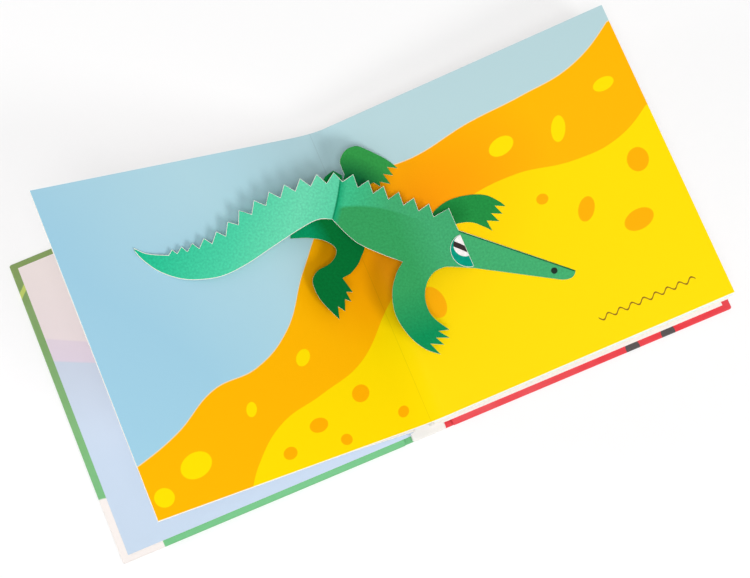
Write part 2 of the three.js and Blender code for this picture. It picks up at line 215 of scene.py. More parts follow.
def laminated(name, colour, marks):
    """Film-laminated printed paper: a glossy skin over flat ink. marks adds the cover's own print."""
    material, tree, shader, place = start_material(name, roughness=0.45, grain=1.2, depth=0.06, sheen=0.1)
    blotch = noise(tree, place, scale=60.0, detail=2.0)
    paler = add_node(tree, "MapRange", {"Value": blotch, "To Max": 0.1}).outputs[0]
    ink = mix(tree, paler, linear(colour), linear("#ffffff"))
    tree.links.new(marks(tree, place, ink), shader.inputs["Base Color"])
    shader.inputs["Coat Weight"].default_value = 0.03
    shader.inputs["Coat Roughness"].default_value = 0.2
    return material


BLADE_PAIRS = [(-186, 74), (-128, 34), (-70, 62), (-96, -30), (-40, -4)]
BLADE_LONG = 17
BLADE_WIDE = 1.3
BLADE_APART = 2.6
CREAM_CORNER = (25.5, 38.8)
BACK_SPOTS = [(126, -91.5, 4.2, 5.5, 0), (148, -91.5, 4.2, 5.5, 0), (60, 20, 9, 9, 0),
              (120, 48, 9, 9, 0), (150, 0, 9, 9, 0), (84, -46, 9, 9, 0), (40, 70, 7, 7, 0)]


def front_marks(tree, place, ink):
    """Pairs of pale blades on green, greener towards the foot, and a cream corner at the fore-edge."""
    split = add_node(tree, "SeparateXYZ", {0: place}).outputs
    green = mix(tree, ramp(tree, split["Y"], 0.09, -0.09), ink, linear("#72bd82"))
    blades = [(x + step, y + step, BLADE_LONG, BLADE_WIDE, 45)
              for x, y in BLADE_PAIRS for step in (-BLADE_APART, BLADE_APART)]
    bladed = mix(tree, any_ellipse(tree, place, blades), green, linear("#bfcf6c"))
    corner = inside_ellipse(tree, place, (-BOARD_FAR, -COVER_HALF), CREAM_CORNER, 0, soft=0.01)
    return mix(tree, corner, bladed, linear("#eee6e1"))


def back_marks(tree, place, ink):
    """Dark round spots scattered on red, some of them running over the edge."""
    return mix(tree, any_ellipse(tree, place, BACK_SPOTS), ink, linear("#565050"))


green_laminate = laminated("film_laminated_green_cover_paper", "#7f9b52", front_marks)
red_laminate = laminated("film_laminated_red_cover_paper", "#e0192b", back_marks)
white_laminate = laminated("film_laminated_white_spine_paper", "#ece9e4", lambda tree, place, ink: ink)

front_cover = covered_board("front_covered_board", -BOARD_FAR, -BOARD_NEAR, green_laminate)
spine = covered_board("covered_spine", -SPINE_EDGE, SPINE_EDGE, white_laminate)
back_cover = covered_board("back_covered_board", BOARD_NEAR, BOARD_FAR, red_laminate)
for made, body, board, wrap, paper in (
        (front_cover, "front_cover", "front_board", "front_wrap", "front_paper"),
        (spine, "book_block", "spine_board", "spine_wrap", "spine_paper"),
        (back_cover, "back_cover", "back_board", "back_wrap", "back_paper")):
    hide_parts(board, wrap)
    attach(made, body)

# Joints.
# Between board and spine board the cover paper runs on alone. In the book it is turned back over itself
# at head and foot and bends when a cover is lifted; here it is a flat strip a little short of both.
JOINT_PAPER = 0.6
JOINT_TUCK = 0.5
JOINT_LIFT = 0.05
JOINT_SHORT = 0.3
JOINT_STEPS = 13


def along_y(path, low, high, rows=25):
    """A sheet: each point of a path in X and Z is carried along Y. Its front is on the path's left."""
    y = np.linspace(low, high, rows)
    x, across = np.meshgrid(path[:, 0], y, indexing="ij")
    z = np.repeat(path[:, 1:2], rows, axis=1)
    points = np.stack([x, across, z], -1).reshape(-1, 3)
    i, j = np.meshgrid(np.arange(len(path) - 1), np.arange(rows - 1), indexing="ij")
    first = (i * rows + j).ravel()
    return points, np.column_stack([first, first + rows, first + rows + 1, first + 1])


def thicken(points, faces, thickness, bare=None):
    """Closed card from a sheet: half the thickness along the normal for the front, half against it for
    the back, and a wall along every edge that has one face. bare is the width of a rim of bare paper on
    the front: the print is drawn in by it, at a corner along the mean of both sides' ways in.
    Gives points, faces, each face's kind (0 front, 1 back, 2 wall and rim) and the sheet point that
    each point comes from."""
    corners = faces.shape[1]
    one, two, three, last = (points[faces[:, i]] for i in (0, 1, 2, corners - 1))
    across = np.cross(two - last, three - one) if corners == 4 else np.cross(two - one, three - one)
    normals = np.zeros_like(points)
    for corner in range(corners):
        np.add.at(normals, faces[:, corner], across)
    normals /= np.linalg.norm(normals, axis=1, keepdims=True)
    edges = np.concatenate([faces[:, [i, (i + 1) % corners]] for i in range(corners)])
    _, first, count = np.unique(np.sort(edges, axis=1), axis=0, return_index=True, return_counts=True)
    rim = edges[first[count == 1]]
    n = len(points)
    front, back = points + normals * thickness / 2, points - normals * thickness / 2
    parts, source = [front, back], [np.arange(n), np.arange(n)]
    edge, rim_faces = rim, []
    if bare is not None:
        inward = np.cross(normals[rim[:, 0]], points[rim[:, 1]] - points[rim[:, 0]])
        inward /= np.linalg.norm(inward, axis=1, keepdims=True)
        ways_in = np.zeros_like(points)
        for end in (0, 1):
            np.add.at(ways_in, rim[:, end], inward)
        ways_in *= np.reshape(bare, (-1, 1)) / np.maximum(
            np.linalg.norm(ways_in, axis=1, keepdims=True), 1e-6)
        outer = np.unique(rim)
        lip = np.zeros(n, int)
        lip[outer] = 2 * n + np.arange(len(outer))
        parts = [front + ways_in, back, front[outer]]
        source.append(outer)
        edge = lip[rim]
        rim_faces = np.column_stack([rim[:, 1], rim[:, 0], edge[:, 0], edge[:, 1]]).tolist()
    walls = np.column_stack([edge[:, 1], edge[:, 0], rim[:, 0] + n, rim[:, 1] + n]).tolist() + rim_faces
    all_faces = faces.tolist() + (faces[:, ::-1] + n).tolist() + walls
    kinds = [0] * len(faces) + [1] * len(faces) + [2] * len(walls)
    return np.concatenate(parts), all_faces, kinds, np.concatenate(source)


for side, name, body, material, paper in (
        (-1, "front_joint_paper", "front_cover", green_laminate, "front_paper"),
        (1, "back_joint_paper", "back_cover", red_laminate, "back_paper")):
    reach = np.linspace(SPINE_EDGE - JOINT_TUCK, BOARD_NEAR + JOINT_TUCK, JOINT_STEPS)
    path = np.column_stack([np.sort(side * reach), np.full(JOINT_STEPS, JOINT_PAPER / 2 + JOINT_LIFT)])
    points, faces = along_y(path, JOINT_SHORT - COVER_HALF, COVER_HALF - JOINT_SHORT)
    joint = piece(name, *thicken(points, faces, JOINT_PAPER)[:2], [material])
    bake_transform(joint)

# Card sheets.
# The leaves are sheets of silk-coated card, offset printed on one side, folded at the gutter and glued
# back to back. Cut edges show the white core of the card.
CARD = 0.425
PAGE = 179.0
PAGE_LOW = box_of("page_block")[0][1]
PAGE_HIGH = box_of("page_block")[1][1]
GUTTER = np.array([4.0, 25.7])
LEFT_TILT = math.radians(35.8)
RIGHT_TILT = math.radians(6.3)
LEAF_FAN = math.radians(1.1)
LEAF_PITCH = 4.8
UPPER = CARD / 2
LOWER = 3 * CARD / 2


def on_left_leaf(distance, depth):
    """A place in X and Z: distance out from the gutter along the raised leaf, depth below its face."""
    out = np.array([-math.cos(LEFT_TILT), math.sin(LEFT_TILT)])
    down = np.array([-math.sin(LEFT_TILT), -math.cos(LEFT_TILT)])
    return GUTTER + out * distance + down * depth


def on_right_leaf(leaf, distance, depth):
    """The same on the right: leaf 0 is the open page, and the closed leaves fan out below it."""
    tilt = RIGHT_TILT - LEAF_FAN * leaf
    out = np.array([math.cos(tilt), math.sin(tilt)])
    down = np.array([math.sin(tilt), -math.cos(tilt)])
    return GUTTER - np.array([0, LEAF_PITCH * leaf]) + out * distance + down * depth


def bezier(count, *controls):
    """Points on a Bezier curve: the sum of its controls, each times its Bernstein weight."""
    t = np.linspace(0, 1, count)[:, None]
    last = len(controls) - 1
    return sum(math.comb(last, k) * t ** k * (1 - t) ** (last - k) * np.asarray(place, float)
               for k, place in enumerate(controls))


def card_core():
    """The white middle of a card or paper, seen at a cut edge: matt, with short fibres."""
    material, tree, shader, place = start_material(
        "uncoated_white_card_core", roughness=0.9, grain=0.3, depth=0.3)
    fibre = noise(tree, place, scale=900.0, detail=3.0)
    tree.links.new(mix(tree, fibre, linear("#fffdf6"), linear("#f1ece2")), shader.inputs["Base Color"])
    return material


def pastel_print():
    """Silk-coated card printed with three soft fields, pale blue, lilac and rose, that follow one
    another up a slope and meet in gently wavy borders."""
    material, tree, shader, place = start_material(
        "silk_coated_card_pastel_print", roughness=0.5, grain=0.5, depth=0.12)
    split = add_node(tree, "SeparateXYZ", {0: place}).outputs
    slope = calc(tree, "MULTIPLY_ADD", split["X"], 0.5, split["Y"])
    wavy = calc(tree, "MULTIPLY_ADD", noise(tree, place, scale=11.0, detail=1.0), 8 * MM, slope)
    fields = add_node(tree, "ValToRGB", {0: ramp(tree, wavy, -0.2, 0.0)}, stops=[
        (0.0, linear("#c0d1e2")), (0.4, linear("#c3d2e3")), (0.715, linear("#cdd7e6")),
        (0.72, linear("#e1d4e1")), (0.785, linear("#e6d8e2")), (0.79, linear("#eee1e1")),
        (1.0, linear("#f2e6e3"))])
    tree.links.new(fields.outputs[0], shader.inputs["Base Color"])
    return material


def sheet_print(name, near, far):
    """Silk-coated card printed with one colour that drifts softly into another."""
    material, tree, shader, place = start_material(name, roughness=0.5, grain=0.5, depth=0.12)
    drift = noise(tree, place, scale=14.0, detail=1.0)
    tree.links.new(mix(tree, drift, linear(near), linear(far)), shader.inputs["Base Color"])
    return material


core = card_core()
cream_print = sheet_print("silk_coated_card_cream_print", "#f8f5ee", "#f3ece6")
pastel = pastel_print()


def card_piece(name, path, materials, distance_at=None, low=PAGE_LOW, high=PAGE_HIGH):
    """A printed card from its path. distance_at is the path's point from which the print is measured."""
    points, faces = along_y(path, low, high)
    solid, all_faces, kinds, source = thicken(points, faces, CARD)
    place = None
    if distance_at is not None:
        steps = np.linalg.norm(np.diff(path, axis=0), axis=1)
        along = np.concatenate([[0], np.cumsum(steps)])
        along -= along[distance_at]
        place = np.column_stack([np.repeat(along, len(points) // len(path)), points[:, 1]])[source]
    made = piece(name, solid, all_faces, materials, kinds, place)
    return made


# First and last page.
# Each is the outer half of the first or last sheet, pasted flat on a board. It crosses the joint to the
# fold of its sheet, curving there to meet it.
END_PAGE = 3.08
END_FAR = -box_of("first_page")[0][0]
END_HIGH = box_of("first_page")[1][1]
FLAT_END = 17
FLAT_STEPS = 30
flat_run = np.column_stack([np.linspace(END_FAR, FLAT_END, FLAT_STEPS), np.full(FLAT_STEPS, END_PAGE)])
first_rise = bezier(10, (-16, END_PAGE), (-13.2, END_PAGE), (-11.6, 3.6), (-10.85, 4.7))
first_path = np.concatenate([flat_run * [-1, 1], first_rise, [(-10.2, 6.0), (-9.6, 7.1)]])
first_page = card_piece("first_page_card", first_path, [pastel, pastel, core],
                        low=-END_HIGH, high=END_HIGH)
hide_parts("first_page")
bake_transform(first_page)

LAST_SEAT = 3.33
last_drop = bezier(8, (9, LAST_SEAT), (11, LAST_SEAT), (13, END_PAGE), (15.5, END_PAGE))
last_path = np.concatenate([last_drop, flat_run[::-1]])
last_page = card_piece("last_page_card", last_path, [cream_print, core, core],
                       low=-END_HIGH, high=END_HIGH)
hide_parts("last_page")
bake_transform(last_page)

# Closed spreads.
# Three sheets lie folded shut under the right page, each with a round fold at the spine. Their prints
# face inwards, so only the cut edges and a sliver of the print show.
FOLD_RADIUS = 1.6
FOLD_STEPS = 15
RUN_STEPS = 12
closed_prints = [
    sheet_print("silk_coated_card_pale_sea_print", "#f0f6f8", "#e4f0f4"),
    sheet_print("silk_coated_card_pale_meadow_print", "#f6f8ea", "#edf4de"),
    sheet_print("silk_coated_card_pale_dusk_print", "#fbf1ea", "#f8e9df")]
for leaf, printed in enumerate(closed_prints):
    above = on_right_leaf(leaf, FOLD_RADIUS, LOWER)
    below = on_right_leaf(leaf + 1, FOLD_RADIUS, UPPER)
    turn = np.linspace(math.pi / 2, 3 * math.pi / 2, FOLD_STEPS)[1:-1]
    fold = np.column_stack([above[0] + FOLD_RADIUS * np.cos(turn),
                            (above[1] + below[1]) / 2 + (above[1] - below[1]) / 2 * np.sin(turn)])
    path = np.concatenate([
        np.linspace(on_right_leaf(leaf, PAGE, LOWER), above, RUN_STEPS), fold,
        np.linspace(below, on_right_leaf(leaf + 1, PAGE, UPPER), RUN_STEPS)])
    closed = card_piece(f"closed_spread_card_{leaf + 1}", path, [printed, core, core])
    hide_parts("page_block")
    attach(closed, "book_block")

# Outer halves of the first and last sheets.
# One backs the raised leaf and parts from it near the spine, the other backs the lowest leaf and comes
# down on the spine board. Both fold outwards to the joints.
FIRST_PARTS_AT = 60
LAST_PARTS_AT = 26
LOWEST_LEAF = len(closed_prints)
first_parting = on_left_leaf(FIRST_PARTS_AT, LOWER)
first_fold = np.array([-6.9, 12.3])
fold_to_parting = first_parting - first_fold
first_turn = bezier(12, (-9.7, 6.9), (-8.2, 9.8), first_fold + [1.6, -0.6],
                    first_fold + fold_to_parting * 0.08)
raised_path = np.concatenate([
    first_turn, np.linspace(first_fold + fold_to_parting * 0.15, first_parting, 8),
    np.linspace(first_parting, on_left_leaf(PAGE, LOWER), RUN_STEPS)[1:]])
raised_back = card_piece("raised_leaf_back_card", raised_path, [pastel, core, core])
last_parting = on_right_leaf(LOWEST_LEAF, LAST_PARTS_AT, LOWER)
last_turn = bezier(16, (9, LAST_SEAT + 4.5), (0, LAST_SEAT + 2.6), (0.6, LAST_SEAT), (5.6, LAST_SEAT))
lowest_path = np.concatenate([
    np.linspace(on_right_leaf(LOWEST_LEAF, PAGE, LOWER), last_parting, RUN_STEPS), last_turn,
    [(9, LAST_SEAT)]])
lowest_back = card_piece("lowest_leaf_back_card", lowest_path, [cream_print, core, core])
for made in (raised_back, lowest_back):
    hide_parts("page_block")
    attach(made, "book_block")

# Open spread.
# The sheet that faces the reader: blue water, an orange bank and yellow sand with oval pebbles, printed
# right across the fold. A hairline of bare card shows where two inks meet.
SHORE = [(-179, -60), (-150, -50), (-120, -34), (-92, -30), (-66, -16), (-40, 14), (-10, 42), (20, 54),
         (52, 54), (84, 59), (118, 61), (150, 65), (179, 80)]
SAND = [(-179, -140), (-130, -100), (-112, -78), (-90, -62), (-60, -54), (-28, -44), (4, -18), (36, 8),
        (66, 19), (98, 21), (130, 15), (156, 16), (179, 27)]
YELLOW_PEBBLES = [(-146, -68, 9.5, 6.3, 12), (-169, -78, 5.6, 4.8, 0), (-104, -50, 4.2, 3, 55),
                  (-62, -32, 5.6, 3.7, 35), (97, 39, 7.6, 5, 12), (130, 35, 4, 7.6, -25),
                  (163, 48, 6.2, 3.7, 5)]
ORANGE_PEBBLES = [(-92, -78, 4.4, 3.2, 10), (-69, -69, 6, 3.8, 4), (-56, -81, 3.7, 3, 0),
                  (-36, -60, 6, 4.6, 15), (-14, -77, 4, 3, 20), (28, -27, 6, 9.5, 8),
                  (106, 2, 3.4, 3, 0), (126, -13, 4.4, 7.2, -35), (150, -30, 8.6, 5.6, 8),
                  (163, 1, 6, 6.8, -20)]
WAVE_MIDDLE = (136.0, -72.0)
WAVE_REACH = 28.4
WAVE_SWING = 1.3
WAVE_RATE = 900.0
WAVE_HALF_WIDTH = 0.45
FOOT_MARGIN = 0.5


def riverbank_print_with_painted_shade():
    """Silk-coated card, offset printed: flat inks that drift a little, crisp edges, a low satin. The
    orange and yellow darken in a soft patch under the crocodile's body, and the print darkens in a
    hairline along
    the fold: both are painted shade. The thin wavy line's height is a sine of its place across the page
    times WAVE_RATE, in radians a metre."""
    material, tree, shader, _ = start_material(
        "silk_coated_card_riverbank_print", roughness=0.48, grain=0.5, depth=0.12)
    where = add_node(tree, "UVMap", uv_map="print").outputs[0]
    split = add_node(tree, "SeparateXYZ", {0: where}).outputs
    across = ramp(tree, split["X"], -PAGE * MM, PAGE * MM)
    span = 300.0

    def below_edge(line):
        """How far a place lies below a printed edge, in mm."""
        curve = [((x + PAGE) / (2 * PAGE), y / span + 0.5) for x, y in line]
        level = add_node(tree, "FloatCurve", {"Value": across}, curve=curve).outputs[0]
        height = calc(tree, "MULTIPLY_ADD", level, span, -span / 2)
        return calc(tree, "MULTIPLY_ADD", split["Y"], -1 / MM, height)

    sky = calc(tree, "MULTIPLY_ADD", split["X"], 1.6, split["Y"])
    tint = calc(tree, "MULTIPLY_ADD", noise(tree, where, scale=12.0, detail=1.0), 0.05, sky)
    blue = mix(tree, ramp(tree, tint, -0.2, -0.03), linear("#a0cfe5"), linear("#b6dde9"))
    blue = mix(tree, ramp(tree, split["X"], -0.06, 0.03), blue, linear("#b7d4d9"))
    # Painted shade: the orange and yellow darken in a soft patch under the crocodile's raised body, where
    # its shadow falls.
    painted_shade_under_body = inside_ellipse(tree, where, (34, 20), (52, 36), 20, soft=0.75)
    orange = mix(tree, painted_shade_under_body, linear("#ffb700"), linear("#ff9c00"))
    yellow = mix(tree, painted_shade_under_body, linear("#ffdd00"), linear("#ffcf00"))
    shore = below_edge(SHORE)
    sand = below_edge(SAND)
    bank = mix(tree, ramp(tree, sand, -0.15, 0.15), orange, yellow)
    bank = mix(tree, any_ellipse(tree, where, YELLOW_PEBBLES), bank, linear("#ffe000"))
    bank = mix(tree, any_ellipse(tree, where, ORANGE_PEBBLES), bank, linear("#ffb000"))
    hairline = mix(tree, ramp(tree, shore, 0.15, 0.5), linear("#f6dfb0"), bank)
    printed = mix(tree, ramp(tree, shore, -0.25, 0.05), blue, hairline)

    sine = calc(tree, "SINE", calc(tree, "MULTIPLY", split["X"], WAVE_RATE))
    level = calc(tree, "MULTIPLY_ADD", sine, WAVE_SWING * MM, WAVE_MIDDLE[1] * MM)
    gap = calc(tree, "ABSOLUTE", calc(tree, "SUBTRACT", split["Y"], level))
    line = ramp(tree, gap, (WAVE_HALF_WIDTH + 0.1) * MM, (WAVE_HALF_WIDTH - 0.1) * MM)
    reach = calc(tree, "ABSOLUTE", calc(tree, "SUBTRACT", split["X"], WAVE_MIDDLE[0] * MM))
    stretch = ramp(tree, reach, (WAVE_REACH + 0.2) * MM, (WAVE_REACH - 0.2) * MM)
    printed = mix(tree, calc(tree, "MULTIPLY", line, stretch), printed, linear("#8f6a1c"))

    foot = ramp(tree, split["Y"], (PAGE_LOW + FOOT_MARGIN) * MM, (PAGE_LOW + FOOT_MARGIN - 0.15) * MM)
    printed = mix(tree, foot, printed, linear("#fffcf0"))
    # Painted shade: the print darkens to 0.88 of its colour in a hairline along the fold, the crease's
    # shade.
    from_fold = calc(tree, "ABSOLUTE", split["X"])
    fold_shade_level = add_node(tree, "MapRange", {"Value": from_fold, "From Min": 0.08 * MM, "From Max": 0.3 * MM,
                                       "To Min": 0.88, "To Max": 1.0}).outputs[0]
    creased = add_node(tree, "VectorMath", {0: printed, "Scale": fold_shade_level}, operation="SCALE").outputs[0]
    tree.links.new(creased, shader.inputs["Base Color"])
    return material


LEAF_STEPS = 14
BEND_STEPS = 21
bend_corner = GUTTER - [0, UPPER / math.cos((LEFT_TILT + RIGHT_TILT) / 2)]
bend = bezier(BEND_STEPS, on_left_leaf(16, UPPER), bend_corner, on_right_leaf(0, 8, UPPER))
open_path = np.concatenate([
    np.linspace(on_left_leaf(PAGE, UPPER), on_left_leaf(18, UPPER), LEAF_STEPS), bend,
    np.linspace(on_right_leaf(0, 10, UPPER), on_right_leaf(0, PAGE, UPPER), LEAF_STEPS)])
open_spread = card_piece("open_spread_card", open_path, [riverbank_print_with_painted_shade(), core, core],
                         distance_at=LEAF_STEPS + BEND_STEPS // 2)
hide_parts("page_block")
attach(open_spread, "book_block")

# Crocodile.
# One sheet of printed paper, die-cut all round with a toothed back, creased twice: at the hip, where it
# stands highest, and behind the snout, which is glued to the right page as the tail's tip is to the left.
THIN_PAPER = 0.3
BARE_RIM = 0.28
BODY_RISE = math.radians(17)
SNOUT_TILT = RIGHT_TILT - math.radians(0.48)
HEAD_OUT = 54.8
HEAD_LIFT = 0.95
TAIL_OUT = 136.6
TAIL_Y = 47.15
TAIL_LIFT = 1.1
head_x, head_z = on_right_leaf(0, HEAD_OUT, -HEAD_LIFT)
HEAD = np.array([head_x, 0, head_z])
BODY_A = np.array([-math.cos(BODY_RISE), 0, math.sin(BODY_RISE)])
SNOUT_A = np.array([math.cos(SNOUT_TILT), 0, math.sin(SNOUT_TILT)])
TO_HEAD = np.array([0, 1.0, 0])
HIP_BACK = np.array([52, 52.3])
HIP_BELLY = np.array([66.3, 34.1])
HIP_LENGTH = np.linalg.norm(HIP_BACK - HIP_BELLY)
HIP_ALONG = (HIP_BACK - HIP_BELLY) / HIP_LENGTH
HIP_AWAY = np.array([HIP_ALONG[1], -HIP_ALONG[0]])
BACK_TEETH = 6
TAIL_TEETH = 13
EVEN_TEETH = 8
TOOTH = 8.0


def on_body(flat):
    """Places in the body's plane, from a, towards the hip, and b, towards the head of the page."""
    return HEAD + flat[..., :1] * BODY_A + flat[..., 1:] * TO_HEAD


hip_bottom = on_body(HIP_BELLY)
hip_line = (on_body(HIP_BACK) - hip_bottom) / HIP_LENGTH
left_up = np.array([math.sin(LEFT_TILT), 0, math.cos(LEFT_TILT)])
tail_x, tail_z = on_left_leaf(TAIL_OUT, 0)
tail_end = np.array([tail_x, TAIL_Y, tail_z]) + left_up * TAIL_LIFT


def square_to_hip(target):
    """The direction from the hip to a target, with its share along the crease taken out."""
    reach = target - hip_bottom
    reach = reach - hip_line * (reach @ hip_line)
    return reach / np.linalg.norm(reach)


tail_out = square_to_hip(tail_end)
body_away = -square_to_hip(HEAD)


def spline(places, spacing=0.8):
    """Catmull-Rom curve through the places: each span is the cubic whose slope at a place is half the
    way between its two neighbours. The end places count as their own neighbours."""
    p = np.asarray(places, float)
    p = np.concatenate([p[:1], p, p[-1:]])
    spans = []
    for i in range(1, len(p) - 2):
        count = max(3, int(np.linalg.norm(p[i + 1] - p[i]) / spacing))
        t = np.linspace(0, 1, count, endpoint=False)[:, None]
        slope0, slope1 = (p[i + 1] - p[i - 1]) / 2, (p[i + 2] - p[i]) / 2
        spans.append((2 * p[i] - 2 * p[i + 1] + slope0 + slope1) * t ** 3
                     + (3 * p[i + 1] - 3 * p[i] - 2 * slope0 - slope1) * t ** 2 + slope0 * t + p[i])
    return np.concatenate(spans + [p[-1:]])


def toothed(base, pitches, heights, lean):
    """A zigzag on a base line. Each pitch ends in a valley, and the tip before it stands out from that
    valley by its height, square to the line and then turned by lean degrees."""
    steps = np.linalg.norm(np.diff(base, axis=0), axis=1)
    along = np.concatenate([[0], np.cumsum(steps)])
    stops = np.cumsum(pitches) / np.sum(pitches) * along[-1]

    def at(distance):
        """Places on the base line at distances along it."""
        return np.column_stack([np.interp(distance, along, base[:, k]) for k in (0, 1)])

    valleys = at(stops)
    tangent = at(np.minimum(stops + 0.2, along[-1])) - at(stops - 0.2)
    tangent /= np.linalg.norm(tangent, axis=1, keepdims=True)
    turn = math.radians(90 + lean)
    out = tangent @ np.array([[math.cos(turn), math.sin(turn)], [-math.sin(turn), math.cos(turn)]])
    tips = valleys + out * np.asarray(heights)[:, None]
    return np.concatenate([base[:1], np.stack([tips, valleys], 1).reshape(-1, 2)])


def crocodile_outline():
    """The die-cut edge, laid flat in the body's a and b: back, snout, chin, leg, belly, tail."""
    back_line = np.linspace(HIP_BACK, (10.5, 16.6), 60)
    back = toothed(back_line, [1] * BACK_TEETH, [-TOOTH] * BACK_TEETH, lean=-37)
    nose = bezier(14, (41, -43.7), (48, -47.1), (50.3, -42.1))[::-1] * [-1, 1]
    chin = spline([(0, -18.6), (13.2, -13.2), (18, -12.2), (24, -13.2), (30, -17.5), (34, -24),
                   (35.2, -31), (33.8, -37.5), (28.4, -45.9)])
    claws = [(34.7, -44.5), (30.2, -50.1), (37.5, -47.4), (34.7, -52.6), (41.9, -49.4)]
    leg = spline([(38.9, -56.8), (45.9, -51), (51.5, -41), (53.8, -27.8), (50.5, -15.5), (44, -6.5),
                  (37.9, -1.6)])
    belly = spline([(38.4, -1.2), (48.3, 7.1), (59, 18.3), HIP_BELLY])
    spine_line = spline([(0, HIP_LENGTH), (17.4, 12.7), (32.7, -1.4), (46.2, -18.1), (55.5, -34),
                         (67.1, -45.5), (81.1, -54.9)], 0.5)
    past_even = np.maximum(np.arange(TAIL_TEETH) - (EVEN_TEETH - 1), 0) / (TAIL_TEETH - EVEN_TEETH)

    def shrink(last):
        """1 for the even teeth, then down in equal steps to last at the tip."""
        return 1 - (1 - last) * past_even

    teeth = toothed(spine_line, shrink(0.48), TOOTH * shrink(0.46), lean=46)
    tip = spline([(88, -57.4), (93.6, -58.7), (99.8, -58.4)])
    under = spline([(98, -60.3), (93, -62.8), (83.1, -65.1), (71.4, -64.4), (60.8, -60.7),
                    (49.4, -53.8), (38.7, -42.6), (26.7, -26.6), (14.9, -11.3), (7.4, -3.4), (0, 0)])
    tail = np.concatenate([teeth, tip, under])[::-1]
    tail = HIP_BELLY + tail[:, :1] * HIP_AWAY + tail[:, 1:] * HIP_ALONG
    return np.concatenate([back, [(0, 18.4), (0, 4.7)], nose, chin, claws, leg, belly[:-1], tail[:-1]])


def cut_sheet(outline, creases=(), spacing=3.0, clearance=0.6):
    """Triangles that fill an outline, with points on a grid inside it and edges along the creases, each
    from one place to the next. Doubled outline points go, and grid points within the clearance."""
    doubled = np.linalg.norm(outline - np.roll(outline, 1, axis=0), axis=1) <= 1e-3
    outline = outline[~doubled]
    low, high = outline.min(axis=0), outline.max(axis=0)
    grid = np.stack(np.meshgrid(np.arange(low[0], high[0], spacing), np.arange(low[1], high[1], spacing)),
                    -1).reshape(-1, 2)
    near = np.linalg.norm(grid[:, None] - outline[None], axis=2).min(axis=1)
    grid = grid[near > clearance]
    ends = np.asarray(creases, float).reshape(-1, 2)
    places = np.concatenate([outline, ends, grid])
    first = len(outline)
    edges = [(first + i, first + i + 1) for i in range(0, len(ends), 2)]
    made = delaunay_2d_cdt(places.tolist(), edges, [list(range(first))], 1, 1e-4)
    points, faces = np.array([tuple(v) for v in made[0]]), np.array(made[2])
    used, faces = np.unique(faces, return_inverse=True)
    points, faces = points[used], faces.reshape(-1, 3)
    one, two, three = (points[faces[:, i]] for i in (0, 1, 2))
    turn = np.cross(two - one, three - one)
    faces[turn < 0] = faces[turn < 0][:, ::-1]
    return points, faces


HIP_BAND = (0.5, 1.5)


def band_half_width(along):
    """Half the width of the folded band at a distance along the hip: it widens towards the back."""
    return HIP_BAND[0] + (HIP_BAND[1] - HIP_BAND[0]) * np.clip(along / HIP_LENGTH, 0, 1.3)


def fold_crocodile(flat):
    """Body, tail and snout each keep to their plane. Within the band at the hip a point moves on a
    curve halfway between a round bend and a flat bridge."""
    past = (flat - HIP_BELLY) @ HIP_AWAY
    along = (flat - HIP_BELLY) @ HIP_ALONG
    body = on_body(flat)
    tail = hip_bottom + past[:, None] * tail_out + along[:, None] * hip_line
    snout = HEAD - flat[:, :1] * SNOUT_A + flat[:, 1:] * TO_HEAD
    wide = band_half_width(along)
    t = np.clip((past + wide) / (2 * wide), 0, 1)[:, None]
    start, end = -wide[:, None] * body_away, wide[:, None] * tail_out
    bend = hip_bottom + along[:, None] * hip_line + (1 - t) ** 2 * start + t ** 2 * end
    bridge = hip_bottom + along[:, None] * hip_line + (1 - t) * start + t * end
    placed = np.where((past > 0)[:, None], tail, body)
    placed = np.where((np.abs(past) < wide)[:, None], (bend + bridge) / 2, placed)
    return np.where(flat[:, :1] < 0, snout, placed)


def printed_paper(name, colour_of, grain=1.3):
    """Uncoated paper printed in flat ink that takes unevenly: soft mottling, with lumps about grain
    millimetres wide, and a matt face."""
    material, tree, shader, _ = start_material(name, roughness=0.72, grain=0.4, depth=0.25)
    where = add_node(tree, "UVMap", uv_map="print").outputs[0]
    ink = colour_of(tree, where)
    blot = add_node(tree, "TexNoise", {"Vector": where, "Scale": 1 / (grain * MM), "Detail": 3.0,
                                       "Roughness": 0.6}).outputs["Fac"]
    level = add_node(tree, "MapRange", {"Value": blot, "From Min": 0.3, "From Max": 0.7, "To Min": 0.87,
                                        "To Max": 1.13}).outputs[0]
    shade = add_node(tree, "VectorMath", {0: ink, "Scale": level}, operation="SCALE").outputs[0]
    tree.links.new(shade, shader.inputs["Base Color"])
    return material


BACK_BOW = (-3.6, 1.267, -0.00934)
NOSTRIL = (-39.6, -37.6)
SNOUT_EDGE_WAY = (-0.681, 0.732)
EDGE_SHADOW_START = 2.5


